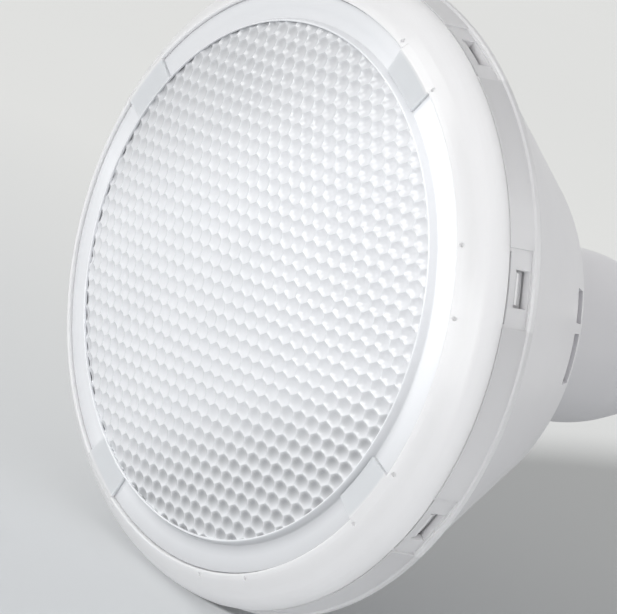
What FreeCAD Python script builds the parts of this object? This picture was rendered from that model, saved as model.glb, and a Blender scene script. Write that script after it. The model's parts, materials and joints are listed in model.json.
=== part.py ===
import FreeCAD, Part
import math
import os

from FreeCAD import Vector as V

# Spotlight bulb with a parabolic-reflector outline, millimetres.
# The lamp's axis lies along Y: light leaves toward -Y, the screw base points to +Y, +Z is up.
# The origin is the tip of the centre contact. While building, s is the distance behind the
# plane of the lens disc's edge, and every solid is moved by -overall at the end.

# ---- driving dimensions (mm) ----
overall = 124.0            # lens edge plane to the tip of the contact
rim_r = 60.3               # largest radius: the bead of the side ring
lens_r = 47.8              # edge of the honeycomb disc
lens_dome = 6.05           # how far the lens's middle stands in front of its edge
lens_wall = 2.4
deck_s = 1.4               # floor of the groove round the lens disc
deck_r = 53.05             # outer edge of that floor
channel_s = 2.8            # front of the flange under the bezel's lip
flange_r = 55.2            # outer radius of the lens flange
lip_r = 53.5               # inner edge of the bezel's front
lip_s = 0.5
seam_s = 7.74              # back edge of the bezel
ring_front_s = 7.85
ring_back_s = 14.66
ring_in_r = 58.0
latch_count = 8
clock = 24.4               # angle of the first latch from +X toward +Z, degrees
lug_clock = -21.2          # angle of the first inward lug, degrees
lug_half = 6.1             # half width of a lug, degrees
window_half = 3.2          # half width of a latch window, degrees
window_s0, window_s1 = 9.6, 12.8
pad_half = 6.7             # half width of the shallow recess round a window, degrees
house_front_s = 14.9
house_front_r = 59.4
house_rear_s = 51.0
house_rear_r = 35.2
house_wall = 2.0
pocket_s0, pocket_s1 = 46.2, 49.5
pocket_depth = 1.6
pocket_spans = ((4.5, 19.0), (22.0, 31.6))   # degrees, repeated every quarter turn
neck_hole_r = 18.2
neck_r = 17.9              # neck where it leaves the housing
neck_bend = (17.05, 86.0)
neck_end = (13.75, 97.2)
neck_in_r = 15.9
shell_r = 13.1             # crest radius of the medium screw shell
shell_root_r = 12.2
shell_pitch = 3.63
shell_s0, shell_s1 = 97.35, 117.4
shell_wall = 0.32
screw_r = 51.6             # pitch radius of the ring screws
board_r = 26.0
board_s = 24.3             # front face of the light board
spreader_s = 26.3          # front face of the heat spreader's plate
pcb_z = -4.0               # underside of the driver board
pcb_t = 1.6
pcb_s0, pcb_s1 = 36.0, 88.0

AXIS0, AXIS = V(0, 0, 0), V(0, 1, 0)
PARTS = {}


def outline(pts):
    """Closed wire in the r, s half plane. A third value in a point rounds that corner."""
    n = len(pts)
    corner = []
    for i in range(n):
        p = V(pts[i][0], pts[i][1], 0)
        a = V(pts[i - 1][0], pts[i - 1][1], 0)
        b = V(pts[(i + 1) % n][0], pts[(i + 1) % n][1], 0)
        f = pts[i][2] if len(pts[i]) > 2 else 0
        if f > 0:
            u = (a - p).normalize()
            w = (b - p).normalize()
            half = u.getAngle(w) / 2
            d = f / math.tan(half)
            bis = (u + w).normalize()
            m = p + bis * (f / math.sin(half) - f)
            corner.append((p + u * d, m, p + w * d))
        else:
            corner.append((p, None, p))
    edges = []
    for i in range(n):
        t1, m, t2 = corner[i]
        if m is not None:
            edges.append(Part.Arc(t1, m, t2).toShape())
        nx = corner[(i + 1) % n][0]
        if (nx - t2).Length > 1e-6:
            edges.append(Part.makeLine(t2, nx))
    return Part.Wire(edges)


def turned(pts, span=360.0, start=0.0):
    """Solid of revolution about the lamp's axis, from angle start over span degrees."""
    s = Part.Face(outline(pts)).revolve(AXIS0, AXIS, span)
    if span < 360:
        # the revolve runs from +X toward -Z, so the sector is turned back to begin at start
        s.rotate(AXIS0, AXIS, -(start + span))
    return s


def at(shape, phi):
    """Copy of a shape built along +X, turned to angle phi (from +X toward +Z)."""
    c = shape.copy()
    c.rotate(AXIS0, AXIS, -phi)
    return c


def rod(r, p, d, length):
    return Part.makeCylinder(r, length, p, d)


def block(x0, x1, s0, s1, z0, z1):
    return Part.makeBox(x1 - x0, s1 - s0, z1 - z0, V(x0, s0, z0))


def tube(points, radius, bend):
    """Round wire along straight runs joined by tangent arcs."""
    pts = [V(*p) for p in points]
    edges = []
    cur = pts[0]
    for i in range(1, len(pts) - 1):
        p, a, b = pts[i], pts[i - 1], pts[i + 1]
        u = (a - p).normalize()
        w = (b - p).normalize()
        half = u.getAngle(w) / 2
        d = bend / math.tan(half)
        bis = (u + w).normalize()
        t1, t2 = p + u * d, p + w * d
        m = p + bis * (bend / math.sin(half) - bend)
        edges.append(Part.makeLine(cur, t1))
        edges.append(Part.Arc(t1, m, t2).toShape())
        cur = t2
    edges.append(Part.makeLine(cur, pts[-1]))
    path = Part.Wire(edges)
    start_dir = (pts[1] - pts[0]).normalize()
    ring = Part.Wire(Part.makeCircle(radius, pts[0], start_dir))
    return path.makePipeShell([ring], True, True)


def keep(name, *shapes):
    """Registers a piece. Several separate solids go in as one group."""
    solids = []
    for s in shapes:
        solids += s.Solids
    PARTS[name] = solids[0] if len(solids) == 1 else Part.makeCompound(solids)


latch_angles = [clock + 360.0 / latch_count * k for k in range(latch_count)]
lug_angles = [lug_clock + 90.0 * k for k in range(4)]
ring_screw_angles = [clock + 22.5 + 90.0 * k for k in range(4)]
board_screw_angles = [90.0, 210.0, 330.0]

# ---- lens: domed disc with a raised edge line, a step down, and a flat flange ----
e = lens_r - 0.6
back_r = lens_r - lens_wall


def dome_mid(r, h):
    """Fall below the apex at half the radius r, on the sphere that falls h at r."""
    big = (r * r + h * h) / (2 * h)
    return big - math.sqrt(big * big - r * r / 4)


back_h = lens_dome * (back_r / e) ** 2
back_s = lens_wall - lens_dome + back_h
wire = Part.Wire([
    Part.Arc(V(0, -lens_dome, 0), V(e / 2, -lens_dome + dome_mid(e, lens_dome), 0), V(e, 0, 0)).toShape(),
    Part.makeLine(V(e, 0, 0), V(e, -0.3, 0)),
    Part.makeLine(V(e, -0.3, 0), V(lens_r, -0.3, 0)),
    Part.makeLine(V(lens_r, -0.3, 0), V(lens_r + 0.2, deck_s, 0)),
    Part.makeLine(V(lens_r + 0.2, deck_s, 0), V(deck_r, deck_s, 0)),
    Part.makeLine(V(deck_r, deck_s, 0), V(deck_r, channel_s, 0)),
    Part.makeLine(V(deck_r, channel_s, 0), V(flange_r, channel_s, 0)),
    Part.makeLine(V(flange_r, channel_s, 0), V(flange_r, channel_s + 2.0, 0)),
    Part.makeLine(V(flange_r, channel_s + 2.0, 0), V(back_r, channel_s + 2.0, 0)),
    Part.makeLine(V(back_r, channel_s + 2.0, 0), V(back_r, back_s, 0)),
    Part.Arc(V(back_r, back_s, 0), V(back_r / 2, lens_wall - lens_dome + dome_mid(back_r, back_h), 0),
             V(0, lens_wall - lens_dome, 0)).toShape(),
    Part.makeLine(V(0, lens_wall - lens_dome, 0), V(0, -lens_dome, 0)),
])
keep("lens", Part.Face(wire).revolve(AXIS0, AXIS, 360))

# ---- front bezel: bulging front, lip over the lens flange, lugs, and snap latches ----
bezel = turned([
    (lip_r - 0.25, channel_s), (lip_r, lip_s, 0.25), (54.6, 1.2, 4.0), (56.5, 2.72, 4.0), (58.0, 4.25, 4.0),
    (59.0, 5.85, 4.0), (59.6, seam_s, 0.1), (57.0, seam_s, 0.3), (55.55, 5.0, 0.5),
    (55.5, channel_s)])
lug = turned([(lens_r + 0.65, 0.6, 0.12), (53.4, 0.6), (54.85, 1.5), (54.85, 2.6), (53.3, 2.6),
              (53.3, deck_s - 0.06), (lens_r + 0.7, deck_s - 0.06, 0.12)], 2 * lug_half, -lug_half)
lip_gap = turned([(lip_r - 0.6, -0.5), (54.85, -0.5), (54.85, 1.5), (53.4, 0.6), (lip_r - 0.6, 0.6)],
                 2 * lug_half, -lug_half)
bezel = bezel.cut(Part.makeCompound([at(lip_gap, a) for a in lug_angles]))
bezel = bezel.fuse([at(lug, a) for a in lug_angles])
tongue = turned([(56.2, 6.3), (57.7, 6.3), (57.7, 12.9, 0.3), (56.5, 12.9, 0.3)], 12.0, -6.0)
hook = turned([(57.4, 9.9), (59.2, 9.9), (59.2, 10.4, 0.2), (57.6, 12.5)], 5.4, -2.7)
latch = tongue.fuse(hook)
bezel = bezel.fuse([at(latch, a) for a in latch_angles])
dot = rod(0.42, V(54.45, 0.3, 0), V(0, 1, 0), 1.25)
bezel = bezel.cut(Part.makeCompound([at(dot, a + k) for a in latch_angles for k in (-6.75, 6.75)]))
keep("front_bezel", bezel.removeSplitter())

# ---- side ring: wall with latch windows, bead along its back edge, inner flange and spigot ----
ring = turned([
    (ring_in_r, ring_front_s), (59.7, ring_front_s, 0.1), (59.92, 13.35), (rim_r, 13.65, 0.2),
    (rim_r, ring_back_s, 0.2), (56.4, ring_back_s), (55.8, 16.0), (54.6, 16.0), (54.6, ring_back_s),
    (48.6, ring_back_s), (48.6, 13.2), (ring_in_r, 13.2)])
window = turned([(57.0, window_s0), (61.5, window_s0), (61.5, window_s1), (57.0, window_s1)],
                2 * window_half, -window_half)
pad = turned([(59.38, ring_front_s - 1), (61.5, ring_front_s - 1), (61.5, 13.2), (59.5, 13.2)],
             2 * pad_half, -pad_half)
relief = turned([(57.5, ring_front_s - 1), (61.5, ring_front_s - 1), (61.5, ring_front_s + 0.4),
                 (57.5, ring_front_s + 0.4)], 2 * 6.1, -6.1)
cuts = [at(c, a) for a in latch_angles for c in (window, pad, relief)]
cuts += [at(rod(1.5, V(screw_r, 12, 0), AXIS, 4), a) for a in ring_screw_angles]
for c in cuts:
    ring = ring.cut(c)
keep("side_ring", ring)

# ---- gasket under the lens flange ----
keep("lens_gasket", turned([(49.2, channel_s + 2.02), (54.2, channel_s + 2.02, 0.4), (54.2, 5.98, 0.4),
                            (49.2, 5.98, 0.4)]))

# ---- reflector: steep metallised cup with a top flange and three screw tabs ----
def cup_edge(p):
    c = Part.BSplineCurve()
    c.interpolate([V(a, b, 0) for a, b in p])
    return c.toShape()

inner = [(15.8, 22.4), (17.3, 18.6), (24.5, 13.2), (34.5, 9.2), (45.6, 6.0)]
outer = [(45.6, 7.2), (34.9, 10.7), (25.4, 14.6), (18.6, 19.6), (17.2, 22.6)]
wire = Part.Wire([
    Part.makeLine(V(15.8, board_s, 0), V(15.8, 22.4, 0)), cup_edge(inner),
    Part.makeLine(V(45.6, 6.0, 0), V(54.8, 6.0, 0)), Part.makeLine(V(54.8, 6.0, 0), V(54.8, 7.2, 0)),
    Part.makeLine(V(54.8, 7.2, 0), V(45.6, 7.2, 0)), cup_edge(outer),
    Part.makeLine(V(17.2, 22.6, 0), V(17.2, board_s, 0)), Part.makeLine(V(17.2, board_s, 0), V(15.8, board_s, 0))])
cup = Part.Face(wire).revolve(AXIS0, AXIS, 360)
tab = block(16.6, 24.4, 22.9, board_s, -3.0, 3.0)
cup = cup.fuse([at(tab, a) for a in board_screw_angles])
for a in board_screw_angles:
    cup = cup.cut(at(rod(1.6, V(21.5, 20, 0), AXIS, 6), a))
keep("reflector", cup)

# ---- light board, its packages and its connector ----
lead_z = -22.0
lead_x = 1.15
board = rod(board_r, V(0, board_s, 0), AXIS, 1.6)
board = board.cut(rod(2.6, V(0, board_s - 1, lead_z), AXIS, 4))
for a in board_screw_angles:
    board = board.cut(at(rod(1.6, V(21.5, board_s - 1, 0), AXIS, 4), a))
keep("led_board", board)
leds = []
for count, radius in ((1, 0.0), (6, 5.6), (12, 11.2)):
    for k in range(count):
        body = block(-1.5, 1.5, board_s - 0.75, board_s, -1.5, 1.5)
        body = body.cut(rod(1.15, V(0, board_s - 0.8, 0), AXIS, 0.25))
        body.translate(V(radius, 0, 0))
        leds.append(at(body, 360.0 / count * k))
keep("led_packages", *leds)
plug = block(-3.1, 3.1, board_s - 2.6, board_s, lead_z - 2.9, lead_z + 2.9)
for sx in (-1, 1):
    plug = plug.cut(rod(0.85, V(sx * lead_x, board_s - 2.0, lead_z), AXIS, 4))
    plug = plug.cut(block(sx * lead_x - 0.7, sx * lead_x + 0.7, board_s - 2.7, board_s - 2.2, lead_z - 3.5, lead_z - 1.2))
keep("board_connector", plug)

# ---- thermal pad and cast heat spreader with fins ----
pad_disc = rod(24.6, V(0, board_s + 1.6, 0), AXIS, 0.4)
pad_disc = pad_disc.cut(rod(3.0, V(0, board_s, lead_z), AXIS, 4))
for a in board_screw_angles:
    pad_disc = pad_disc.cut(at(rod(1.9, V(21.5, board_s, 0), AXIS, 4), a))
keep("thermal_pad", pad_disc)
spreader = turned([
    (0, spreader_s), (44.6, spreader_s, 1.5), (46.4, 16.3, 0.8), (46.4, ring_back_s), (54.3, ring_back_s),
    (54.3, 16.2), (48.5, 16.2, 0.8), (46.9, 28.8, 1.5), (0, 28.8)])
fin = Part.Face(Part.makePolygon([V(20, 28.5, 0), V(45.6, 28.5, 0), V(37.2, 42.0, 0), V(20, 42.0, 0), V(20, 28.5, 0)]))
fin = fin.extrude(V(0, 0, 1.6))
fin.translate(V(0, 0, -0.8))
spreader = spreader.fuse([at(fin, 15.0 + 30.0 * k) for k in range(12)])
spreader = spreader.cut(rod(2.6, V(0, 20, lead_z), AXIS, 12))
for a in board_screw_angles:
    spreader = spreader.cut(at(rod(1.3, V(21.5, 20, 0), AXIS, 12), a))
for a in ring_screw_angles:
    spreader = spreader.cut(at(rod(1.5, V(screw_r, 12, 0), AXIS, 6), a))
keep("heat_spreader", spreader)

# ---- screws ----
def pan_screw(head_r, head_h, shank_r, length, s_head):
    h = turned([(0, s_head - head_h), (head_r, s_head - head_h, 0.6), (head_r, s_head), (0, s_head)])
    sh = rod(shank_r, V(0, s_head - 0.1, 0), AXIS, length + 0.1)
    slot_a = block(-head_r * 0.62, head_r * 0.62, s_head - head_h - 1, s_head - head_h + 0.8, -0.35, 0.35)
    slot_b = block(-0.35, 0.35, s_head - head_h - 1, s_head - head_h + 0.8, -head_r * 0.62, head_r * 0.62)
    return h.fuse(sh).cut(slot_a).cut(slot_b)

s1 = pan_screw(2.5, 1.7, 1.25, 5.4, 22.9)
s1.translate(V(21.5, 0, 0))
keep("board_screws", *[at(s1, a) for a in board_screw_angles])
s2 = pan_screw(2.4, 1.7, 1.15, 8.0, 13.2)
s2.translate(V(screw_r, 0, 0))
keep("ring_screws", *[at(s2, a) for a in ring_screw_angles])

# ---- housing: bowl with a rounded rear shoulder, hole for the neck, four screw bosses ----
slope = (house_front_r - house_rear_r) / (house_rear_s - house_front_s)
dr = house_wall * math.sqrt(1 + slope * slope)
rear_fall = 6.0                       # the rear face runs back this far on its way to the neck
rear_k = rear_fall / (house_rear_r - neck_hole_r)
ds = house_wall * math.sqrt(1 + rear_k * rear_k)
# corner of the two inner faces
s_c = (house_rear_s - ds + rear_k * (house_rear_r - (house_front_r - dr + slope * house_front_s))) / (1 - rear_k * slope)
r_c = house_front_r - dr - slope * (s_c - house_front_s)
housing = turned([
    (house_front_r - dr, house_front_s), (house_front_r, house_front_s, 0.35),
    (house_rear_r, house_rear_s, 2.2), (neck_hole_r, house_rear_s + rear_fall, 0.4),
    (neck_hole_r, house_rear_s + rear_fall - ds), (r_c, s_c, 1.2)])
boss = rod(2.4, V(screw_r, 16.2, 0), AXIS, 5.8)
for a in ring_screw_angles:
    housing = housing.fuse(at(boss, a))
for a in ring_screw_angles:
    housing = housing.cut(at(rod(1.2, V(screw_r, 16.0, 0), AXIS, 5.5), a))
# pairs of shallow crescent pockets on the cone, just in front of its rear shoulder
pocket_r0 = house_front_r - slope * (pocket_s0 - house_front_s) - pocket_depth
pocket_r1 = house_front_r - slope * (pocket_s1 - house_front_s) - pocket_depth
for a0, a1 in pocket_spans:
    pocket = turned([(pocket_r0, pocket_s0, 0.5), (pocket_r0 + 4, pocket_s0), (pocket_r0 + 4, pocket_s1),
                     (pocket_r1, pocket_s1, 0.5)], a1 - a0, a0)
    housing = housing.cut(Part.makeCompound([at(pocket, 90.0 * k) for k in range(4)]))
keep("housing", housing)

# ---- neck: driver cup, with a flange behind the housing's rear face and a spigot for the shell ----
fl_r = 24.0
fl_s = house_rear_s - ds + rear_k * (house_rear_r - fl_r) - 0.1
fl_s_in = house_rear_s - ds + rear_k * (house_rear_r - 18.05) - 0.1
neck = turned([
    (neck_in_r, 34.0), (17.7, 34.0, 0.3), (17.7, 50.6, 0.4), (fl_r, 50.6, 0.4), (fl_r, fl_s, 0.3), (18.05, fl_s_in),
    (18.0, 57.6), (neck_r, 58.0), (neck_bend[0], neck_bend[1], 40.0), (neck_end[0], neck_end[1], 0.35),
    (11.75, neck_end[1]), (11.75, 108.0, 0.3), (10.4, 108.0), (10.4, 97.6, 1.0), (14.9, 85.4, 8.0), (neck_in_r, 62.0)])
keep("neck", neck)

# ---- driver board ----
half_w = 13.4
pcb = block(-half_w, half_w, pcb_s0, pcb_s1, pcb_z, pcb_z + pcb_t)
top = pcb_z + pcb_t
pcb = pcb.cut(block(-half_w - 1, -half_w + 1.6, 80.0, pcb_s1 + 1, pcb_z - 1, top + 1))
pcb = pcb.cut(block(half_w - 1.6, half_w + 1, 80.0, pcb_s1 + 1, pcb_z - 1, top + 1))
keep("driver_board", pcb)

# transformer: rectangular core with a middle leg, and the winding round that leg
core = block(-8.0, 8.0, 46.0, 50.0, top + 0.8, top + 13.0)
core = core.fuse([block(-8.0, 8.0, 58.0, 62.0, top + 0.8, top + 13.0),
                  block(-2.0, 2.0, 49.0, 59.0, top + 4.9, top + 8.9)])
keep("transformer_core", core.removeSplitter())
wind = block(-6.8, 6.8, 50.4, 57.6, top + 0.6, top + 13.2)
wind = wind.makeFillet(2.4, [ed for ed in wind.Edges if abs(ed.Vertexes[0].Point.y - ed.Vertexes[1].Point.y) > 5])
wind = wind.cut(block(-2.1, 2.1, 49.0, 59.0, top + 4.8, top + 9.0))
keep("transformer_winding", wind)

def can(r, s0, s1, x, z):
    c = turned([(0, s0), (r, s0, 0.6), (r, s1 - 2.2, 0.3), (r - 0.4, s1 - 1.6, 0.3), (r, s1 - 1.0, 0.3), (r, s1, 0.4), (0, s1)])
    c.translate(V(x, 0, z))
    return c

keep("input_capacitor", can(5.0, 64.5, 80.5, -6.0, top + 5.1))
keep("output_capacitor", can(4.0, 66.5, 79.5, 4.6, top + 4.1))
film = block(-11.0, -3.0, 37.5, 44.5, top + 0.05, top + 9.0)
film = film.makeFillet(0.5, [ed for ed in film.Edges if max(v.Point.z for v in ed.Vertexes) > top + 8])
keep("film_capacitor", film)
drum = Part.Face(outline([(0, 0.05), (4.2, 0.05, 0.2), (4.2, 1.3, 0.2), (3.2, 1.8), (3.2, 5.6), (4.2, 6.1, 0.2), (4.2, 7.4, 0.2), (0, 7.4)]))
drum = drum.revolve(AXIS0, AXIS, 360)
drum.rotate(V(0, 0, 0), V(1, 0, 0), 90)
drum.translate(V(4.4, 85.2, top) - V(0, 1.0, 0))
keep("line_inductor", drum)

def chip(x, s, w, l, h, legs):
    """Moulded package on the underside of the driver board, with its legs."""
    body = block(x - w / 2, x + w / 2, s - l / 2, s + l / 2, pcb_z - 0.15 - h, pcb_z - 0.15)
    for k in range(legs):
        y = s - l / 2 + l * (k + 0.5) / legs
        for sx in (-1, 1):
            foot = block(min(x + sx * (w / 2 - 0.3), x + sx * (w / 2 + 1.0)), max(x + sx * (w / 2 - 0.3), x + sx * (w / 2 + 1.0)),
                         y - 0.2, y + 0.2, pcb_z - 0.35, pcb_z)
            body = body.fuse(foot)
    return body

keep("bridge_rectifier", chip(0.0, 76.0, 4.0, 4.8, 2.2, 2))
keep("driver_controller", chip(0.0, 55.0, 4.0, 5.0, 1.5, 4))
fuse = turned([(0, 0), (1.7, 0, 0.5), (1.7, 3.0, 0.3), (1.45, 3.4), (1.45, 6.2), (1.7, 6.6, 0.3), (1.7, 9.6, 0.5), (0, 9.6)])
fuse.translate(V(-11.0, 46.5, top + 1.75))
keep("fuse_resistor", fuse)

# ---- leads ----
mid_z = pcb_z + pcb_t / 2
leads = []
for sx in (-1, 1):
    leads.append(tube([(sx * lead_x, pcb_s0 - 0.02, mid_z), (sx * lead_x, 31.4, mid_z), (sx * lead_x, 31.4, lead_z),
                       (sx * lead_x, board_s - 1.95, lead_z)], 0.7, 2.0))
keep("led_leads", *leads)
keep("line_lead", tube([(6.0, pcb_s1 + 0.02, mid_z), (6.0, 93.0, mid_z), (0.0, 101.0, 0.0), (0.0, overall - 2.65, 0.0)], 0.6, 3.0))
keep("neutral_lead", tube([(-7.0, pcb_s1 + 0.02, mid_z), (-7.0, 110.4, mid_z), (-11.35, 110.4, mid_z)], 0.6, 1.8))

# ---- screw base: shell with knuckle ridges, insulator, centre contact ----
mid_r = (shell_r + shell_root_r) / 2
amp = (shell_r - shell_root_r) / 2
wave_s0 = shell_s0 + 2.7
half = shell_pitch / 2
waves = 8                             # alternating crests and roots


def wave(shift):
    out = []
    s = wave_s0
    for k in range(waves):
        sign = -1 if k % 2 == 0 else 1
        out.append(Part.Arc(V(mid_r + shift, s, 0), V(mid_r + shift + sign * amp, s + half / 2, 0),
                            V(mid_r + shift, s + half, 0)).toShape())
        s += half
    return out, s


out_edges, s_end = wave(0)
in_edges, _ = wave(-shell_wall)
o_end = V(mid_r, s_end, 0)
i_end = V(mid_r - shell_wall, s_end, 0)
edges = [Part.makeLine(V(shell_r - shell_wall, shell_s0, 0), V(shell_r, shell_s0, 0)),
         Part.makeLine(V(shell_r, shell_s0, 0), V(shell_r, wave_s0 - 0.7, 0)),
         Part.makeLine(V(shell_r, wave_s0 - 0.7, 0), V(mid_r, wave_s0, 0))]
edges += out_edges
edges += [Part.makeLine(o_end, V(12.35, shell_s1 - 1.0, 0)),
          Part.Arc(V(12.35, shell_s1 - 1.0, 0), V(11.95, shell_s1 - 0.2, 0), V(11.3, shell_s1, 0)).toShape(),
          Part.makeLine(V(11.3, shell_s1, 0), V(9.8, shell_s1, 0)),
          Part.makeLine(V(9.8, shell_s1, 0), V(9.8, shell_s1 - shell_wall, 0)),
          Part.makeLine(V(9.8, shell_s1 - shell_wall, 0), V(11.25, shell_s1 - shell_wall, 0)),
          Part.Arc(V(11.25, shell_s1 - shell_wall, 0), V(11.75, shell_s1 - 0.5, 0), V(12.03, shell_s1 - 1.1, 0)).toShape(),
          Part.makeLine(V(12.03, shell_s1 - 1.1, 0), i_end)]
edges += list(reversed(in_edges))
edges += [Part.makeLine(V(mid_r - shell_wall, wave_s0, 0), V(shell_r - shell_wall, wave_s0 - 0.85, 0)),
          Part.makeLine(V(shell_r - shell_wall, wave_s0 - 0.85, 0), V(shell_r - shell_wall, shell_s0, 0))]
shell_wire = Part.Wire(Part.__sortEdges__(edges))
keep("screw_shell", Part.Face(shell_wire).revolve(AXIS0, AXIS, 360))
keep("base_insulator", turned([
    (1.3, 114.2), (10.9, 114.2, 0.3), (10.9, shell_s1 - shell_wall - 0.02, 0.2), (9.7, shell_s1 - shell_wall - 0.02),
    (9.7, 118.3, 0.6), (5.6, overall - 2.6, 0.4), (1.3, overall - 2.6)]))
keep("centre_contact", turned([
    (0, overall - 2.58), (5.0, overall - 2.58, 0.15), (5.0, overall - 1.9, 0.3), (2.6, overall, 0.9), (0, overall)]))

# ---- write every piece ----
os.makedirs("parts", exist_ok=True)
for name, shape in PARTS.items():
    shape = shape.copy()
    shape.translate(V(0, -overall, 0))
    ok = shape.isValid()
    print("%-20s solids %2d valid %s volume %.1f" % (name, len(shape.Solids), ok, shape.Volume))
    shape.exportStep("parts/" + name + ".step")
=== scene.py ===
import json
import math

import bmesh
import bpy
import numpy as np
from mathutils import Matrix, Vector

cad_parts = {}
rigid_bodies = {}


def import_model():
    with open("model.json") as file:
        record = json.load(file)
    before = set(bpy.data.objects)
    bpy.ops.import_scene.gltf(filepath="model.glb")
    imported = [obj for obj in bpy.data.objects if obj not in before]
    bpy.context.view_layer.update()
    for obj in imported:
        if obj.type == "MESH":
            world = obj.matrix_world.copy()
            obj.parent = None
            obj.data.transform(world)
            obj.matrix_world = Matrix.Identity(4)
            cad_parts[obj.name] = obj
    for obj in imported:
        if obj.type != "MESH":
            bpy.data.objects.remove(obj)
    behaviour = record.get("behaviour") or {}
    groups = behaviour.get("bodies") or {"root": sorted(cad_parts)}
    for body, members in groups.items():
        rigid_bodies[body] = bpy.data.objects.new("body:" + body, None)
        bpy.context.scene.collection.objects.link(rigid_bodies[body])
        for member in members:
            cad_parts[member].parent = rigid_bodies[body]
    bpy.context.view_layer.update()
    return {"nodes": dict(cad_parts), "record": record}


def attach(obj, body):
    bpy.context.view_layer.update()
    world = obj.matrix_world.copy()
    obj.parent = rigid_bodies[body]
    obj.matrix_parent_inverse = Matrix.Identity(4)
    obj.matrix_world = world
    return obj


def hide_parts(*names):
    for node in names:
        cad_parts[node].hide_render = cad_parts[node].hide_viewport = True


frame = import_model()
NODES = frame["nodes"]
scene = bpy.context.scene

# ---------------------------------------------------------------- sizes
MM = 0.001
OVERALL = 124.0 * MM           # lens edge plane to the contact's tip; y = s - OVERALL
LENS_R = 47.8
DOME = 6.05
DECK_S, DECK_R = 1.4, 53.05
CHANNEL_S = 2.8
FLANGE_R = 55.2
SPIN = math.radians(9.35)      # the lattice's rows against the horizontal
PITCH = 3.057                  # lenslet spacing, mm
CELL0 = (1.159, -0.205)        # the lenslet nearest the axis, x and z, mm
rng = np.random.default_rng(7)


# ---------------------------------------------------------------- node helpers
def new_mat(name):
    m = bpy.data.materials.new(name)
    m.use_nodes = True
    nt = m.node_tree
    for n in list(nt.nodes):
        nt.nodes.remove(n)
    out = nt.nodes.new("ShaderNodeOutputMaterial")
    bs = nt.nodes.new("ShaderNodeBsdfPrincipled")
    nt.links.new(bs.outputs[0], out.inputs["Surface"])
    return m, nt, bs, out


def coords(nt, scale=(1, 1, 1)):
    tc = nt.nodes.new("ShaderNodeTexCoord")
    mp = nt.nodes.new("ShaderNodeMapping")
    mp.inputs["Scale"].default_value = scale
    nt.links.new(tc.outputs["Object"], mp.inputs["Vector"])
    return mp.outputs[0]


def noise(nt, vec, scale, detail=3.0, rough=0.5):
    n = nt.nodes.new("ShaderNodeTexNoise")
    n.inputs["Scale"].default_value = scale
    n.inputs["Detail"].default_value = detail
    n.inputs["Roughness"].default_value = rough
    nt.links.new(vec, n.inputs["Vector"])
    return n.outputs["Fac"]


def ramp(nt, fac, stops):
    r = nt.nodes.new("ShaderNodeValToRGB")
    els = r.color_ramp.elements
    while len(els) < len(stops):
        els.new(0.5)
    for e, (p, c) in zip(els, stops):
        e.position = p
        e.color = (c[0], c[1], c[2], 1) if len(c) == 3 else c
    nt.links.new(fac, r.inputs["Fac"])
    return r.outputs["Color"]


def rough_range(nt, fac, lo, hi):
    r = nt.nodes.new("ShaderNodeMapRange")
    r.inputs["From Min"].default_value = 0.3
    r.inputs["From Max"].default_value = 0.7
    r.inputs["To Min"].default_value = lo
    r.inputs["To Max"].default_value = hi
    nt.links.new(fac, r.inputs["Value"])
    return r.outputs["Result"]


def bump(nt, bs, height, strength, distance, prev=None):
    b = nt.nodes.new("ShaderNodeBump")
    b.inputs["Strength"].default_value = strength
    b.inputs["Distance"].default_value = distance
    nt.links.new(height, b.inputs["Height"])
    if prev is not None:
        nt.links.new(prev, b.inputs["Normal"])
    nt.links.new(b.outputs[0], bs.inputs["Normal"])
    return b.outputs[0]


def put(bs, **kw):
    for k, v in kw.items():
        bs.inputs[k.replace("_", " ")].default_value = v


def plastic(name, base, vary=0.03, rough=(0.25, 0.4), grain=900.0, grain_d=0.00003, grain_k=0.3, mottle=35.0,
            sss=0.0, sss_r=(1, 1, 1), sss_scale=0.002, trans=0.0, ior=1.5, coat=0.0, speck=None):
    """Moulded plastic: slow colour drift, uneven gloss and a fine moulded grain."""
    m, nt, bs, out = new_mat(name)
    v = coords(nt)
    slow = noise(nt, v, mottle, 4.0, 0.55)
    hi = [min(1.0, c * (1 + vary)) for c in base]
    lo = [c * (1 - vary) for c in base]
    col = ramp(nt, slow, [(0.3, lo), (0.7, hi)])
    if speck is not None:
        sp = noise(nt, v, speck[0], 2.0, 0.6)
        dots = ramp(nt, sp, [(0.70, (0, 0, 0)), (0.78, (1, 1, 1))])
        mx = nt.nodes.new("ShaderNodeMix")
        mx.data_type = "RGBA"
        nt.links.new(dots, mx.inputs["Factor"])
        nt.links.new(col, mx.inputs["A"])
        mx.inputs["B"].default_value = (*speck[1], 1)
        col = mx.outputs["Result"]
    nt.links.new(col, bs.inputs["Base Color"])
    nt.links.new(rough_range(nt, noise(nt, v, mottle * 3.1, 5.0, 0.6), *rough), bs.inputs["Roughness"])
    bump(nt, bs, noise(nt, v, grain, 2.0, 0.5), grain_k, grain_d)
    put(bs, IOR=ior, Subsurface_Weight=sss, Subsurface_Radius=sss_r, Subsurface_Scale=sss_scale,
        Transmission_Weight=trans, Coat_Weight=coat)
    return m


def metal(name, base, rough=(0.2, 0.4), vary=0.06, grain=400.0, grain_d=0.00004, grain_k=0.3, stretch=(1, 1, 1), mottle=60.0):
    m, nt, bs, out = new_mat(name)
    v = coords(nt, stretch)
    slow = noise(nt, v, mottle, 5.0, 0.6)
    col = ramp(nt, slow, [(0.28, [c * (1 - vary) for c in base]), (0.72, [min(1, c * (1 + vary)) for c in base])])
    nt.links.new(col, bs.inputs["Base Color"])
    nt.links.new(rough_range(nt, noise(nt, v, mottle * 2.3, 6.0, 0.62), *rough), bs.inputs["Roughness"])
    bump(nt, bs, noise(nt, v, grain, 3.0, 0.55), grain_k, grain_d)
    put(bs, Metallic=1.0)
    return m


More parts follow.
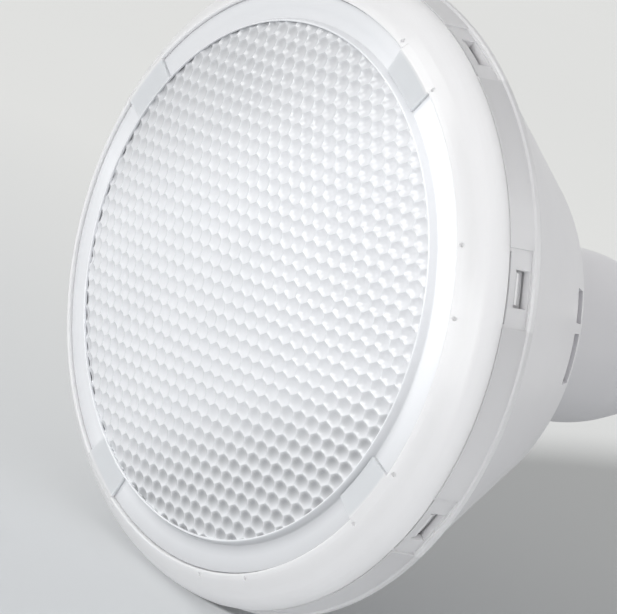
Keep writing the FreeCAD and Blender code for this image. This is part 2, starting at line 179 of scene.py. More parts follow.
# ---------------------------------------------------------------- materials
M = {}
def math_node(nt, op, a, b=None):
    n = nt.nodes.new("ShaderNodeMath")
    n.operation = op
    for i, v in enumerate((a, b)):
        if v is None:
            continue
        if isinstance(v, (int, float)):
            n.inputs[i].default_value = v
        else:
            nt.links.new(v, n.inputs[i])
    return n.outputs[0]


def map_range(nt, v, f0, f1, t0, t1, smooth=False):
    r = nt.nodes.new("ShaderNodeMapRange")
    if smooth:
        r.interpolation_type = "SMOOTHSTEP"
    for k, q in (("From Min", f0), ("From Max", f1), ("To Min", t0), ("To Max", t1)):
        r.inputs[k].default_value = q
    nt.links.new(v, r.inputs["Value"])
    return r.outputs["Result"]


def polar(nt):
    """Radius and angle about the lamp's axis, and height, all from the object's own coordinates."""
    tc = nt.nodes.new("ShaderNodeTexCoord")
    sp = nt.nodes.new("ShaderNodeSeparateXYZ")
    nt.links.new(tc.outputs["Object"], sp.inputs[0])
    x, y, z = sp.outputs[0], sp.outputs[1], sp.outputs[2]
    r = math_node(nt, "SQRT", math_node(nt, "ADD", math_node(nt, "MULTIPLY", x, x), math_node(nt, "MULTIPLY", z, z)))
    ang = math_node(nt, "ARCTAN2", z, x)
    return r, ang, x, y, z


def mul_color(nt, col, fac):
    """Colour times a varying factor."""
    v = nt.nodes.new("ShaderNodeVectorMath")
    v.operation = "SCALE"
    nt.links.new(col, v.inputs[0])
    nt.links.new(fac, v.inputs["Scale"])
    return v.outputs[0]


def lens_material():
    m, nt, bs, out = new_mat("clear_lens_mat")
    v = coords(nt)
    r, ang, x, y, z = polar(nt)
    col = ramp(nt, noise(nt, v, 55.0, 4.0, 0.6), [(0.3, (0.905, 0.917, 0.944)), (0.7, (0.932, 0.942, 0.967))])
    # painted shade: clear ridges and greyer bowls, most of all toward the disc's lower edge and a little at its upper
    # edge, and the disc's upper edge darker as a whole
    w = math_node(nt, "ADD", math_node(nt, "MULTIPLY", x, 0.511), math_node(nt, "MULTIPLY", z, -0.78))
    low_shade_zone = map_range(nt, w, 0.019, 0.035, 0.0, 1.0, True)
    top_shade_zone = map_range(nt, w, -0.042, -0.012, 1.0, 0.0, True)
    at = nt.nodes.new("ShaderNodeAttribute")
    at.attribute_name = "bowl_shade"
    painted_shade = math_node(nt, "ADD", math_node(nt, "MULTIPLY", low_shade_zone, SHADE_BOWL_LOW), math_node(nt, "MULTIPLY", top_shade_zone, SHADE_BOWL_TOP))
    painted_shade = math_node(nt, "MULTIPLY", at.outputs["Fac"], math_node(nt, "ADD", painted_shade, SHADE_BOWL_MID))
    painted_shade = math_node(nt, "ADD", painted_shade, math_node(nt, "MULTIPLY", low_shade_zone, SHADE_LENS_LOW))
    painted_shade = math_node(nt, "ADD", painted_shade, math_node(nt, "MULTIPLY", top_shade_zone, SHADE_LENS_TOP))
    # painted shade on the plain flange round the disc: darker at its upper and lower parts and toward its -x, -z side
    rim_shade = map_range(nt, math_node(nt, "ABSOLUTE", w), 0.010, 0.046, 0.0, RIM_SHADE, True)
    far = math_node(nt, "ADD", math_node(nt, "MULTIPLY", x, -0.836), math_node(nt, "MULTIPLY", z, -0.549))
    rim_shade = math_node(nt, "MAXIMUM", rim_shade, map_range(nt, far, 0.032, 0.050, 0.0, RIM_FAR_SHADE, True))
    on_rim = map_range(nt, r, 0.0474, 0.0482, 0.0, 1.0)
    painted_shade = math_node(nt, "ADD", math_node(nt, "MULTIPLY", painted_shade, math_node(nt, "SUBTRACT", 1.0, on_rim)),
                  math_node(nt, "MULTIPLY", rim_shade, on_rim))
    col = mul_color(nt, col, math_node(nt, "SUBTRACT", 1.0, painted_shade))
    nt.links.new(col, bs.inputs["Base Color"])
    nt.links.new(map_range(nt, noise(nt, v, 120.0, 5.0, 0.6), 0.3, 0.7, 0.045, 0.11), bs.inputs["Roughness"])
    nt.links.new(map_range(nt, r, 0.0470, 0.0478, LENS_T, RIM_T), bs.inputs["Transmission Weight"])
    bump(nt, bs, noise(nt, v, 700.0, 2.0, 0.5), 0.12, 0.00002)
    put(bs, IOR=1.49)
    return m


LENS_T, RIM_T = 0.27, 0.04
# strengths of the painted shade on the lens: the lower and upper zones, and the bowls everywhere
SHADE_LENS_TOP, SHADE_LENS_LOW, RIM_SHADE, RIM_FAR_SHADE = 0.15, 0.0, 0.30, 0.20
SHADE_BOWL_LOW, SHADE_BOWL_MID, SHADE_BOWL_TOP = 0.57, 0.05, 0.22
M["clear_lens"] = lens_material()
M["frosted_bezel"] = plastic("frosted_bezel_mat", (0.828, 0.823, 0.832), 0.012, (0.30, 0.40), 1500, 0.00002, 0.25, 30.0,
                             sss=0.6, sss_r=(1, 1, 1), sss_scale=0.0022, coat=0.15)


def tint_by_radius(m, r0, r1, inner, outer=(1.0, 1.0, 1.0)):
    """Colour factor that changes between two radii from the lamp's axis."""
    nt = m.node_tree
    bs = next(n for n in nt.nodes if n.type == "BSDF_PRINCIPLED")
    sock = bs.inputs["Base Color"].links[0].from_socket
    r, ang, x, y, z = polar(nt)
    k = ramp(nt, map_range(nt, r, r0, r1, 0.0, 1.0, True), [(0.0, inner), (1.0, outer)])
    mx = nt.nodes.new("ShaderNodeVectorMath")
    mx.operation = "MULTIPLY"
    nt.links.new(sock, mx.inputs[0])
    nt.links.new(k, mx.inputs[1])
    nt.links.new(mx.outputs[0], bs.inputs["Base Color"])


# painted shade: the lugs and the bezel's inner edge, inside about 53 mm, are darker and bluer, standing in for the grey
# interior seen through the thin plastic
tint_by_radius(M["frosted_bezel"], 0.0526, 0.0536, (0.84, 0.868, 0.89))


def tint_by_angle(m, first, step, stops):
    """Colour factor that repeats round the lamp, from first, every step degrees."""
    nt = m.node_tree
    bs = next(n for n in nt.nodes if n.type == "BSDF_PRINCIPLED")
    sock = bs.inputs["Base Color"].links[0].from_socket
    r, ang, x, y, z = polar(nt)
    turn = math_node(nt, "SUBTRACT", math_node(nt, "MULTIPLY", ang, 180.0 / math.pi / step), first / step)
    k = ramp(nt, math_node(nt, "FRACT", turn), [(p, (q, q, q)) for p, q in stops])
    mx = nt.nodes.new("ShaderNodeVectorMath")
    mx.operation = "MULTIPLY"
    nt.links.new(sock, mx.inputs[0])
    nt.links.new(k, mx.inputs[1])
    nt.links.new(mx.outputs[0], bs.inputs["Base Color"])



M["translucent_ring"] = plastic("translucent_ring_mat", (0.888, 0.881, 0.895), 0.02, (0.28, 0.38), 1400, 0.00002, 0.25, 40.0,
                                sss=0.5, sss_r=(1, 1, 1), sss_scale=0.003, trans=0.25, coat=0.1)
# painted shade: between windows the ring darkens gradually and turns light again at the next pad, repeating every 45
# degrees
tint_by_angle(M["translucent_ring"], 24.4, 45.0, [(0.0, 1.0), (0.30, 1.0), (0.78, 0.87), (0.845, 0.86), (0.855, 1.0), (1.0, 1.0)])
M["white_housing"] = plastic("white_housing_mat", (0.742, 0.734, 0.752), 0.012, (0.30, 0.38), 1100, 0.00001, 0.12, 26.0, sss=0.15,
                             sss_scale=0.0012, coat=0.1)
M["silicone"] = plastic("silicone_mat", (0.72, 0.72, 0.70), 0.04, (0.5, 0.65), 600, 0.00005, 0.4, 50, sss=0.2)
M["metallised"] = metal("metallised_mat", (0.90, 0.905, 0.91), (0.34, 0.42), 0.015, 500, 0.00002, 0.2, mottle=30)
M["board_white"] = plastic("board_white_mat", (0.86, 0.86, 0.85), 0.02, (0.3, 0.45), 1300, 0.00002, 0.3, 90)
M["led_amber"] = plastic("led_amber_mat", (0.88, 0.83, 0.66), 0.05, (0.3, 0.5), 2500, 0.00003, 0.5, 500, sss=0.2)
M["connector_white"] = plastic("connector_white_mat", (0.84, 0.82, 0.76), 0.03, (0.35, 0.5), 1800, 0.00003, 0.4, 120)
M["thermal_grey"] = plastic("thermal_grey_mat", (0.45, 0.48, 0.50), 0.06, (0.6, 0.8), 900, 0.00006, 0.6, 80)
M["cast_aluminium"] = metal("cast_aluminium_mat", (0.62, 0.63, 0.64), (0.35, 0.55), 0.08, 900, 0.00008, 0.6)
M["steel_screw"] = metal("steel_screw_mat", (0.62, 0.63, 0.65), (0.2, 0.38), 0.08, 1800, 0.00003, 0.4, mottle=200)
M["board_green"] = plastic("board_green_mat", (0.05, 0.22, 0.10), 0.15, (0.25, 0.4), 1200, 0.00003, 0.4, 300, speck=(900.0, (0.35, 0.45, 0.30)))
M["ferrite"] = plastic("ferrite_mat", (0.06, 0.06, 0.065), 0.2, (0.45, 0.65), 1500, 0.00006, 0.6, 200)
M["winding_tape"] = plastic("winding_tape_mat", (0.80, 0.58, 0.08), 0.08, (0.18, 0.32), 300, 0.00005, 0.5, 150)
M["can_black"] = plastic("can_black_mat", (0.03, 0.035, 0.05), 0.25, (0.18, 0.3), 700, 0.00002, 0.3, 120, coat=0.3)
M["film_yellow"] = plastic("film_yellow_mat", (0.72, 0.50, 0.10), 0.1, (0.2, 0.35), 800, 0.00003, 0.4, 140)
M["drum_black"] = plastic("drum_black_mat", (0.03, 0.03, 0.033), 0.25, (0.4, 0.6), 900, 0.00005, 0.5, 200)
M["chip_black"] = plastic("chip_black_mat", (0.03, 0.03, 0.032), 0.2, (0.45, 0.6), 2500, 0.00003, 0.5, 400)
M["resistor_green"] = plastic("resistor_green_mat", (0.16, 0.28, 0.20), 0.15, (0.35, 0.5), 1500, 0.00004, 0.5, 300)
M["wire_white"] = plastic("wire_white_mat", (0.82, 0.82, 0.80), 0.03, (0.25, 0.4), 900, 0.00002, 0.3, 100)
M["wire_red"] = plastic("wire_red_mat", (0.55, 0.03, 0.03), 0.08, (0.25, 0.4), 900, 0.00002, 0.3, 100)
M["plated_shell"] = metal("plated_shell_mat", (0.72, 0.71, 0.68), (0.16, 0.32), 0.05, 800, 0.00003, 0.35, (1, 0.35, 1), 90)
M["insulator_black"] = plastic("insulator_black_mat", (0.02, 0.02, 0.023), 0.2, (0.08, 0.2), 300, 0.00003, 0.3, 80, coat=0.4)
M["contact_metal"] = metal("contact_metal_mat", (0.66, 0.62, 0.54), (0.25, 0.42), 0.1, 1200, 0.00004, 0.5, mottle=250)

SLOT = {s["node"]: s["material_slot"] for s in frame["record"]["subparts"]} if frame["record"].get("subparts") else {}


def dress(obj, slot):
    obj.data.materials.clear()
    obj.data.materials.append(M[slot])


def smooth(obj, deg=32.0):
    for o in bpy.context.selected_objects:
        o.select_set(False)
    obj.select_set(True)
    bpy.context.view_layer.objects.active = obj
    bpy.ops.object.shade_smooth_by_angle(angle=math.radians(deg))
    obj.select_set(False)


for name, obj in NODES.items():
    slot = SLOT.get(name)
    if slot in M:
        dress(obj, slot)


# ---------------------------------------------------------------- mesh helpers
def mesh_obj(name, verts, faces, mat, body="root", smooth_deg=None):
    me = bpy.data.meshes.new(name)
    me.from_pydata([tuple(v) for v in verts], [], faces)
    me.validate()
    me.update()
    o = bpy.data.objects.new(name, me)
    scene.collection.objects.link(o)
    me.materials.append(mat)
    for p in me.polygons:
        p.use_smooth = True
    if smooth_deg is not None:
        smooth(o, smooth_deg)
    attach(o, body)
    return o


def to_row(x, s, z):
    """mm in the building frame to metres in the row frame."""
    return np.stack([x * MM, s * MM - OVERALL, z * MM], -1)


def turned_rings(profile, seg=256):
    """Vertices and quads of a surface of revolution of (r, s) points, in mm."""
    prof = np.array(profile, float)
    th = np.arange(seg) * 2 * math.pi / seg
    x = prof[:, 0][:, None] * np.cos(th)[None]
    z = prof[:, 0][:, None] * np.sin(th)[None]
    s = np.repeat(prof[:, 1][:, None], seg, 1)
    v = to_row(x, s, z).reshape(-1, 3)
    f = []
    for i in range(len(prof) - 1):
        a, b = i * seg, (i + 1) * seg
        for k in range(seg):
            k2 = (k + 1) % seg
            f.append((a + k, b + k, b + k2, a + k2))
    return v, f


# ---------------------------------------------------------------- the honeycomb lens
E = LENS_R - 0.4
BIG = (E * E + DOME * DOME) / (2 * DOME)


def dome_s(r):
    return -DOME + BIG - np.sqrt(BIG * BIG - r * r)


def honeycomb(depth=0.6, radius=E + 0.12):
    """Pitted front of the disc: (x, s, z) in mm and triangles. Each lenslet is a shallow round pit in its hexagon."""
    rc = PITCH / math.sqrt(3)                       # centre to corner
    sect = 12
    fr = np.array([0.24, 0.47, 0.68, 0.84, 0.94, 1.0])
    ang = np.arange(sect) * 2 * math.pi / sect + math.pi / 6   # corners of the cell at 30, 90, ... degrees
    # reach of the hexagon's outline in each direction
    reach = (PITCH / 2) / np.cos(((ang + math.pi / 6) % (math.pi / 3)) - math.pi / 6)
    local = [(0.0, 0.0)]
    for f in fr:
        for k in range(sect):
            local.append((f * reach[k] * math.cos(ang[k]), f * reach[k] * math.sin(ang[k])))
    local = np.array(local)
    cs, sn = math.cos(SPIN), math.sin(SPIN)
    local = np.stack([local[:, 0] * cs - local[:, 1] * sn, local[:, 0] * sn + local[:, 1] * cs], -1)
    q = np.hypot(local[:, 0], local[:, 1]) / rc
    lip = 0.97 * rc
    ball = (lip * lip + depth * depth) / (2 * depth)     # each pit is a cap of a sphere

    def cap(t):
        t = np.minimum(t * rc, lip)
        return np.sqrt(ball * ball - t * t) - (ball - depth)

    pit = cap(q)
    faces0 = []
    for k in range(sect):
        faces0.append((0, 1 + k, 1 + (k + 1) % sect))
    for i in range(len(fr) - 1):
        a, b = 1 + i * sect, 1 + (i + 1) * sect
        for k in range(sect):
            k2 = (k + 1) % sect
            faces0.append((a + k, b + k, b + k2))
            faces0.append((a + k, b + k2, a + k2))
    faces0 = np.array(faces0)
    n = int(radius / (PITCH * 0.8)) + 3
    e1 = np.array([cs, sn]) * PITCH
    e2 = np.array([math.cos(SPIN + math.pi / 3), math.sin(SPIN + math.pi / 3)]) * PITCH
    V, F, A, base = [], [], [], 0
    bowl_shade = np.clip(1 - (q / 0.93) ** 4, 0, 1)
    # painted shade: each bowl is darker, most of all on its upper side, standing in for the shaded pit wall and the
    # dark interior behind the lens
    bowl_shade = bowl_shade * np.clip(0.5 + 0.75 * (local[:, 0] * -0.75 + local[:, 1] * 0.66) / rc, 0, 1)
    for j in range(-n, n + 1):
        for i in range(-n, n + 1):
            cx, cz = np.array(CELL0) + i * e1 + j * e2
            if math.hypot(cx, cz) > radius + rc:
                continue
            px, pz = cx + local[:, 0], cz + local[:, 1]
            r = np.hypot(px, pz)
            if r.min() > radius:
                continue
            out = r > radius
            k = np.where(out, radius / np.maximum(r, 1e-9), 1.0)
            px, pz = px * k, pz * k
            d = pit.copy()
            if out.any():
                w = np.hypot(px - cx, pz - cz) / rc
                d = np.where(out, cap(w), d)
            V.append(np.stack([px, dome_s(np.hypot(px, pz)) + d + 0.012, pz], -1))
            A.append(np.where(out, 0.0, bowl_shade))
            F.append(faces0 + base)
            base += len(local)
    V = np.concatenate(V)
    A = np.concatenate(A)
    F = np.concatenate(F)
    key = np.round(V[:, [0, 2]] / 0.002).astype(np.int64)
    _, first, inv = np.unique(key, axis=0, return_index=True, return_inverse=True)
    inv = inv.reshape(-1)
    V = V[first]
    A = A[first]
    F = inv[F]
    ok = (F[:, 0] != F[:, 1]) & (F[:, 1] != F[:, 2]) & (F[:, 0] != F[:, 2])
    F = F[ok]
    a, b, c = V[F[:, 0]], V[F[:, 1]], V[F[:, 2]]
    area = 0.5 * np.abs((b[:, 0] - a[:, 0]) * (c[:, 2] - a[:, 2]) - (b[:, 2] - a[:, 2]) * (c[:, 0] - a[:, 0]))
    F = F[area > 1e-4]
    return V, F, A


hv, hf, ha = honeycomb()
verts = to_row(hv[:, 0], hv[:, 1], hv[:, 2])
# (x, z) triangles that run the same way round as the lattice's angle face toward +Y, so they are turned over
faces = [tuple(int(q) for q in t) for t in hf]
rim = [(E + 0.10, 0.32), (E + 0.02, -0.02), (E + 0.04, -0.18), (E + 0.09, -0.27), (E + 0.15, -0.295), (LENS_R - 0.15, -0.295),
       (LENS_R - 0.08, -0.26), (LENS_R, -0.17), (LENS_R + 0.06, 0.0), (LENS_R + 0.26, 0.6), (LENS_R + 0.44, DECK_S - 0.20),
       (LENS_R + 0.52, DECK_S - 0.06), (LENS_R + 0.62, DECK_S + 0.005), (50.5, DECK_S + 0.005), (DECK_R + 0.15, DECK_S + 0.005),
       (DECK_R + 0.22, DECK_S + 0.06), (DECK_R + 0.16, CHANNEL_S - 0.2), (DECK_R + 0.13, CHANNEL_S + 0.005), (FLANGE_R - 0.05, CHANNEL_S + 0.005),
       (FLANGE_R - 0.02, CHANNEL_S + 0.1), (FLANGE_R - 0.02, CHANNEL_S + 1.9), (FLANGE_R - 0.1, CHANNEL_S + 1.98),
       (45.5, CHANNEL_S + 1.98)]
br = 45.4
bh = DOME * (br / E) ** 2
bb = (br * br + bh * bh) / (2 * bh)
rim.append((45.42, 2.4 - DOME + bh + 0.25))
for f in (0.995, 0.9, 0.75, 0.6, 0.45, 0.3, 0.15, 0.02):
    rr = br * f
    rim.append((rr, 2.4 - DOME + bb - math.sqrt(bb * bb - rr * rr) - 0.01))
rv, rf = turned_rings(rim, 288)
off = len(verts)
verts = np.concatenate([verts, rv])
faces += [tuple(i + off for i in q) for q in rf]
last = off + (len(rim) - 1) * 288
faces.append(tuple(last + k for k in range(288)))
lens = mesh_obj("lens_honeycomb", verts, faces, M["clear_lens"], smooth_deg=50)
me = lens.data
bm = bmesh.new()
bm.from_mesh(me)
bm.faces.ensure_lookup_table()
bmesh.ops.reverse_faces(bm, faces=[f for f in bm.faces if max(v.index for v in f.verts) < off and f.normal.y > 0])
bm.faces.ensure_lookup_table()
rest = [f for f in bm.faces if min(v.index for v in f.verts) >= off]
# the groove's floor must look to -Y
probe = [f for f in rest if abs(math.hypot(f.calc_center_median().x, f.calc_center_median().z) - 0.0505) < 0.0018
         and abs(f.calc_center_median().y + OVERALL - DECK_S * MM) < 0.0002]
if probe[0].normal.y > 0:
    bmesh.ops.reverse_faces(bm, faces=rest)
bm.to_mesh(me)
bm.free()
# per-vertex painted shade for the bowls, read by the lens material
bowl_shade_attr = me.attributes.new("bowl_shade", "FLOAT", "POINT")
vals = np.zeros(len(me.vertices), np.float32)
vals[:len(ha)] = ha
bowl_shade_attr.data.foreach_set("value", vals)
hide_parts("lens")


# ---------------------------------------------------------------- housing and neck
def rounded(pts, n=7):
    """(r, s[, radius]) corners of a closed outline to a list of points with the corners rounded."""
    out = []
    m = len(pts)
    for i in range(m):
        p, a, b = (np.array(pts[k][:2], float) for k in (i, i - 1, (i + 1) % m))
        rad = pts[i][2] if len(pts[i]) > 2 else 0
        if rad <= 0:
            out.append(tuple(p))
            continue
        u, w = (a - p) / np.linalg.norm(a - p), (b - p) / np.linalg.norm(b - p)
        half = math.acos(max(-1, min(1, float(u @ w)))) / 2
        d = rad / math.tan(half)
        bis = (u + w) / np.linalg.norm(u + w)
        c = p + bis * rad / math.sin(half)
        t1, t2 = p + u * d - c, p + w * d - c
        a1, a2 = math.atan2(t1[1], t1[0]), math.atan2(t2[1], t2[0])
        da = (a2 - a1 + math.pi) % (2 * math.pi) - math.pi
        k = n if rad > 0.6 else 4
        for j in range(k):
            q = a1 + da * j / (k - 1)
            out.append((c[0] + rad * math.cos(q), c[1] + rad * math.sin(q)))
    return out


def shell_of(profile, phis, push=None):
    """Closed revolve of an outline over the given angles. push(r, s, phi) moves a point inward in radius."""
    prof = np.array(profile, float)
    n, m = len(prof), len(phis)
    V = np.zeros((n, m, 3))
    for i, (r, sv) in enumerate(prof):
        rr = np.full(m, r)
        if push is not None:
            rr = rr - push(r, sv, np.degrees(phis))
        V[i, :, 0], V[i, :, 1], V[i, :, 2] = rr * np.cos(phis), sv, rr * np.sin(phis)
    V = V.reshape(-1, 3)
    F = []
    for i in range(n):
        a, b = i * m, ((i + 1) % n) * m
        for k in range(m):
            k2 = (k + 1) % m
            F.append((a + k, b + k, b + k2, a + k2))
    return to_row(V[:, 0], V[:, 1], V[:, 2]), F


def outward(obj):
    b = bmesh.new()
    b.from_mesh(obj.data)
    bmesh.ops.recalc_face_normals(b, faces=b.faces)
    b.to_mesh(obj.data)
    b.free()


H_F, H_R, WALL = (59.4, 14.9), (35.2, 51.0), 2.0
slope = (H_F[0] - H_R[0]) / (H_R[1] - H_F[1])
dr = WALL * math.sqrt(1 + slope * slope)
rear_k = 6.0 / (35.2 - 18.2)
ds = WALL * math.sqrt(1 + rear_k * rear_k)
s_c = (51.0 - ds + rear_k * (35.2 - (59.4 - dr + slope * 14.9))) / (1 - rear_k * slope)
r_c = 59.4 - dr - slope * (s_c - 14.9)
P_S0, P_S1, P_D = 46.2, 49.5, 1.55
P_SPANS = ((4.5, 19.0), (22.0, 31.6))
BOSS_R, BOSS_A = 51.6, 46.9
outer = rounded([(H_F[0] - dr, H_F[1]), (*H_F, 0.35), (*H_R, 2.2), (18.2, 57.0, 0.4), (18.2, 57.0 - ds), (r_c, s_c, 1.2)])
# extra rings on the cone: plain ones, and close pairs at the pockets' two edges
cone = list(np.arange(17.0, 45.5, 2.0)) + [P_S0 - 0.45, P_S0 - 0.02, P_S0 + 0.02, P_S0 + 0.30, P_S0 + 1.1, P_S1 - 1.2, P_S1 - 0.30,
                                                   P_S1 - 0.02, P_S1 + 0.02]
i0 = max(i for i, q in enumerate(outer) if q[1] < 16.0 and q[0] > 58.5)
prof = outer[:i0 + 1] + [(H_F[0] - slope * (q - H_F[1]), q) for q in cone] + outer[i0 + 1:]
ph = set(np.round(np.arange(0, 360, 1.25), 4))
for k in range(4):
    for a0, a1 in P_SPANS:
        for q in (a0, a1):
            ph |= {round(q + 90 * k - 0.05, 4), round(q + 90 * k + 0.05, 4), round(q + 90 * k - 0.5, 4), round(q + 90 * k + 0.5, 4)}
phis = np.radians(np.array(sorted(ph)))


def pocket(r, sv, deg):
    if not (P_S0 - 0.005 < sv < P_S1 + 0.005) or abs(r - (H_F[0] - slope * (sv - H_F[1]))) > 1e-6:
        return np.zeros(len(deg))
    q = deg % 90.0
    inside = np.zeros(len(deg), bool)
    for a0, a1 in P_SPANS:
        inside |= (q > a0) & (q < a1)
    return np.where(inside, P_D, 0.0)


hv2, hf2 = shell_of(prof, phis, pocket)
# four screw bosses standing inward from the housing's wall
for k in range(4):
    q0 = math.radians(BOSS_A + 90.0 * k)
    ring_pts = [(2.4, 16.2), (2.4, 22.0), (1.2, 22.0), (1.2, 16.2)]
    bv, bf = shell_of(ring_pts, np.arange(24) * 2 * math.pi / 24)
    bv = bv + np.array([BOSS_R * math.cos(q0), 0.0, BOSS_R * math.sin(q0)]) * MM
    hf2 = hf2 + [tuple(i + len(hv2) for i in f) for f in bf]
    hv2 = np.concatenate([hv2, bv])
house = mesh_obj("housing_cone", hv2, hf2, M["white_housing"])
outward(house)
smooth(house, 28)
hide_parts("housing")

fl_s = 51.0 - ds + rear_k * (35.2 - 24.0) - 0.1
fl_in = 51.0 - ds + rear_k * (35.2 - 18.05) - 0.1
neck_prof = rounded([(15.9, 34.0), (17.7, 34.0, 0.3), (17.7, 50.6, 0.4), (24.0, 50.6, 0.4), (24.0, fl_s, 0.3), (18.05, fl_in),
                     (18.0, 57.6), (17.9, 58.0), (17.05, 86.0, 40.0), (13.75, 97.2, 0.35), (11.75, 97.2), (11.75, 108.0, 0.3),
                     (10.4, 108.0), (10.4, 97.6, 1.0), (14.9, 85.4, 8.0), (15.9, 62.0)], 15)
nv, nf = shell_of(neck_prof, np.arange(192) * 2 * math.pi / 192)
neck = mesh_obj("neck_cup", nv, nf, M["white_housing"])
outward(neck)
smooth(neck, 28)
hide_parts("neck")


# ---------------------------------------------------------------- the screw shell with its real helix
def thread_shell():
    crest, root, pitch = 13.08, 12.2, 3.63
    s0, s1 = 97.37, 117.4
    seg = 144
    rows = np.concatenate([[s0, s0 + 0.25, s0 + 1.2], np.arange(s0 + 1.5, s1 - 1.15, 0.22), [s1 - 1.1]])
    th = np.arange(seg) * 2 * math.pi / seg
    V = []
    for s in rows:
        ph = 2 * math.pi * (s - s0 - 2.0) / pitch - th
        wave = 0.5 * (1 + np.sin(ph))
        wave = wave ** 0.9
        prof = root + (crest - root) * wave
        k0 = np.clip((s - (s0 + 1.3)) / 1.6, 0, 1)
        k1 = np.clip((s1 - 1.1 - s) / 1.6, 0, 1)
        k0, k1 = k0 * k0 * (3 - 2 * k0), k1 * k1 * (3 - 2 * k1)
        r = crest * (1 - k0) + prof * k0
        r = 12.38 * (1 - k1) + r * k1
        V.append(np.stack([r * np.cos(th), np.full(seg, s), r * np.sin(th)], -1))
    for r, s in ((12.3, s1 - 0.75), (12.1, s1 - 0.42), (11.8, s1 - 0.16), (11.4, s1 - 0.02), (10.6, s1 - 0.005), (9.9, s1 - 0.005), (9.82, s1 - 0.12),
                 (9.82, s1 - 0.3)):
        V.append(np.stack([np.full(seg, r) * np.cos(th), np.full(seg, s), r * np.sin(th)], -1))
    n_out = len(V)
    # inner skin back to the collar
    for r, s in ((11.2, s1 - 0.32), (11.75, s1 - 0.8), (11.9, s1 - 2.0), (11.9, s0 + 3.0), (12.7, s0 + 1.6), (12.78, s0 + 0.02)):
        V.append(np.stack([np.full(seg, r) * np.cos(th), np.full(seg, s), r * np.sin(th)], -1))
    V = np.concatenate(V)
    rows_n = len(V) // seg
    F = []
    for i in range(rows_n):
        a, b = i * seg, ((i + 1) % rows_n) * seg
        for k in range(seg):
            k2 = (k + 1) % seg
            F.append((a + k, a + k2, b + k2, b + k))
    return to_row(V[:, 0], V[:, 1], V[:, 2]), F


tv, tf = thread_shell()
shell = mesh_obj("screw_shell_threaded", tv, tf, M["plated_shell"], smooth_deg=45)
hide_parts("screw_shell")

# ---------------------------------------------------------------- stage
FLOOR_Z = -60.35 * MM


def floor_mat():
    m, nt, bs, out = new_mat("studio_floor_mat")
    v = coords(nt)
    col = ramp(nt, noise(nt, v, 3.0, 3.0, 0.5), [(0.3, (0.775, 0.78, 0.778)), (0.7, (0.795, 0.80, 0.797))])
    # painted shade: the paper's colour darkens softly toward the front and turns a little cooler there, standing in for
    # light falling off
    tc = nt.nodes.new("ShaderNodeTexCoord")
    sp = nt.nodes.new("ShaderNodeSeparateXYZ")
    nt.links.new(tc.outputs["Object"], sp.inputs[0])
    d = math_node(nt, "ADD", math_node(nt, "MULTIPLY", sp.outputs[0], -0.75), math_node(nt, "MULTIPLY", sp.outputs[1], 0.66))
    k = ramp(nt, map_range(nt, d, -0.08, 0.28, 0.0, 1.0), [(0.0, (0.786, 0.80, 0.818)), (1.0, (1.0, 0.996, 0.980))])
    mx = nt.nodes.new("ShaderNodeVectorMath")
    mx.operation = "MULTIPLY"
    nt.links.new(col, mx.inputs[0])
    nt.links.new(k, mx.inputs[1])
    nt.links.new(mx.outputs[0], bs.inputs["Base Color"])
    nt.links.new(rough_range(nt, noise(nt, v, 8.0), 0.75, 0.85), bs.inputs["Roughness"])
    bump(nt, bs, noise(nt, v, 300.0, 2.0), 0.1, 0.00005)
    put(bs, Specular_IOR_Level=0.1)
    return m


bpy.ops.mesh.primitive_circle_add(vertices=128, radius=14.0, fill_type="NGON", location=(0, -0.06, FLOOR_Z))
floor = bpy.context.object
floor.name = "studio_floor"
floor.data.materials.append(floor_mat())

world = scene.world or bpy.data.worlds.new("World")
scene.world = world
world.use_nodes = True
wt = world.node_tree
bg = wt.nodes.get("Background") or wt.nodes.new("ShaderNodeBackground")
wc = wt.nodes.new("ShaderNodeTexCoord")
sep = wt.nodes.new("ShaderNodeSeparateXYZ")
wt.links.new(wc.outputs["Generated"], sep.inputs[0])
wr = wt.nodes.new("ShaderNodeValToRGB")
wr.color_ramp.elements[0].position = 0.03
wr.color_ramp.elements[0].color = (0.74, 0.745, 0.745, 1)
wr.color_ramp.elements[1].position = 0.45
wr.color_ramp.elements[1].color = (0.50, 0.503, 0.505, 1)
wt.links.new(sep.outputs["Z"], wr.inputs["Fac"])
wt.links.new(wr.outputs["Color"], bg.inputs["Color"])
bg.inputs["Strength"].default_value = 1.0

# camera: azimuth, elevation, roll (degrees), distance and shift (mm), focal length (pixels)
AZ, EL, ROLL = math.radians(47.554), math.radians(14.0), math.radians(22.162)
DIST, TX, TZ, F_PX = 726.257, 10.818, -5.048, 4000.0
back = Vector((math.sin(AZ) * math.cos(EL), -math.cos(AZ) * math.cos(EL), math.sin(EL)))
right = Vector((math.cos(AZ), math.sin(AZ), 0.0))
upv = back.cross(right)
r2 = right * math.cos(ROLL) + upv * math.sin(ROLL)
u2 = -right * math.sin(ROLL) + upv * math.cos(ROLL)
LENS_C = Vector((0, -OVERALL, 0))
cam_data = bpy.data.cameras.new("photo_camera")
cam = bpy.data.objects.new("photo_camera", cam_data)
scene.collection.objects.link(cam)
cam_data.sensor_width = 36.0
cam_data.sensor_fit = "HORIZONTAL"
cam_data.lens = F_PX * 36.0 / 617.0
cam_data.clip_start, cam_data.clip_end = 0.01, 60.0
pos = LENS_C + (back * DIST + r2 * TX + u2 * TZ) * MM
cam.matrix_world = Matrix(((r2.x, u2.x, back.x, pos.x), (r2.y, u2.y, back.y, pos.y), (r2.z, u2.z, back.z, pos.z), (0, 0, 0, 1)))
scene.camera = cam


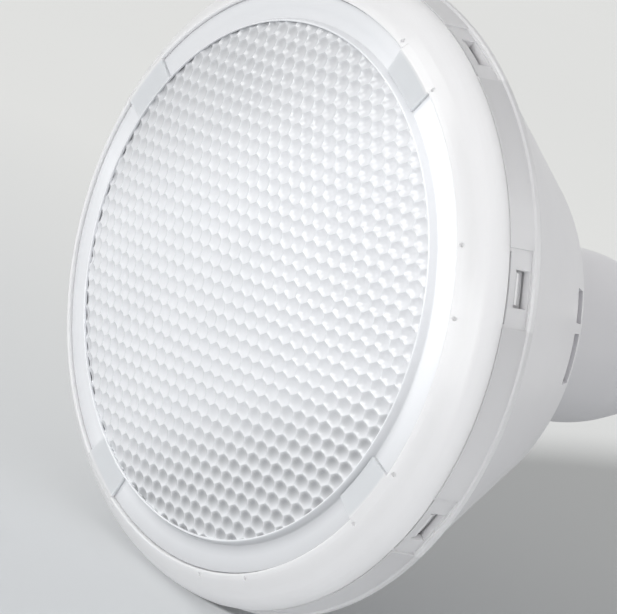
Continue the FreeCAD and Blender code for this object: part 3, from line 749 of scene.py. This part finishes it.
def area(name, loc, target, size, power, color=(1, 1, 1), size_y=None):
    d = bpy.data.lights.new(name, "AREA")
    d.shape = "RECTANGLE" if size_y else "SQUARE"
    d.size = size
    if size_y:
        d.size_y = size_y
    d.energy = power
    d.color = color
    o = bpy.data.objects.new(name, d)
    scene.collection.objects.link(o)
    o.location = loc
    o.rotation_euler = (Vector(target) - Vector(loc)).to_track_quat("-Z", "Y").to_euler()
    return o


def img_dir(right_k, up_k, back_k):
    """Direction given in the picture's own frame: right, up, toward the camera."""
    return (r2 * right_k + u2 * up_k + back * back_k).normalized()


lamp_only = bpy.data.collections.new("lit_lamp")
floor_only = bpy.data.collections.new("lit_floor")
floor_only.objects.link(floor)
for o in bpy.data.objects:
    if o.type == "MESH" and o is not floor:
        lamp_only.objects.link(o)


def aim(o, loc, target):
    o.location = loc
    o.rotation_euler = (Vector(target) - Vector(loc)).to_track_quat("-Z", "Y").to_euler()


C0 = Vector((0, -0.08, 0))
# low soft light from in front of the lens: lays the lamp's long shadow on the floor
sun_d = bpy.data.lights.new("floor_light", "SUN")
sun_d.energy = 4.0
sun_d.angle = math.radians(6)
sun = bpy.data.objects.new("floor_light", sun_d)
scene.collection.objects.link(sun)
aim(sun, Vector((0.20, -0.98, math.tan(math.radians(20)))), Vector((0, 0, 0)))
sun.light_linking.receiver_collection = floor_only

key = area("key", C0 + img_dir(-0.50, 0.76, 0.41) * 0.95, C0, 0.45, 2.75, (1.0, 0.998, 0.99), 0.45)
axis_out = Vector((0, -1, 0))
across = (r2 - axis_out * r2.dot(axis_out)).normalized()
upward = (u2 - axis_out * u2.dot(axis_out)).normalized()
front = area("front", LENS_C + axis_out * 0.42 + across * 0.16 + upward * 0.08, LENS_C, 0.22, 0.93, (1, 1, 1), 0.22)
front_low = area("front_low", LENS_C + axis_out * 0.42 + across * 0.30 - upward * 0.15, LENS_C, 0.3, 1.05, (1, 1, 1), 0.3)
side = area("side", C0 + img_dir(0.90, 0.18, 0.30) * 1.1, C0, 0.6, 2.35, (1, 1, 1), 0.6)
side_high = area("side_high", C0 + img_dir(0.62, 0.72, 0.30) * 1.1, C0, 0.6, 2.25, (1, 1, 1), 0.6)
RINGS = ("front_bezel", "side_ring")
NECK = ("neck_cup", "screw_shell_threaded", "base_insulator", "centre_contact")
rings_only, not_rings, neck_only, not_neck = (
    bpy.data.collections.new(n) for n in ("lit_rings", "lit_not_rings", "lit_neck", "lit_not_neck"))
for o in lamp_only.objects:
    (rings_only if o.name in RINGS else not_rings).objects.link(o)
    (neck_only if o.name in NECK else not_neck).objects.link(o)
for light, lit in ((key, lamp_only), (front, not_rings), (front_low, rings_only), (side, not_neck), (side_high, neck_only)):
    light.light_linking.receiver_collection = lit

scene.view_settings.view_transform = "Standard"
scene.view_settings.look = "None"
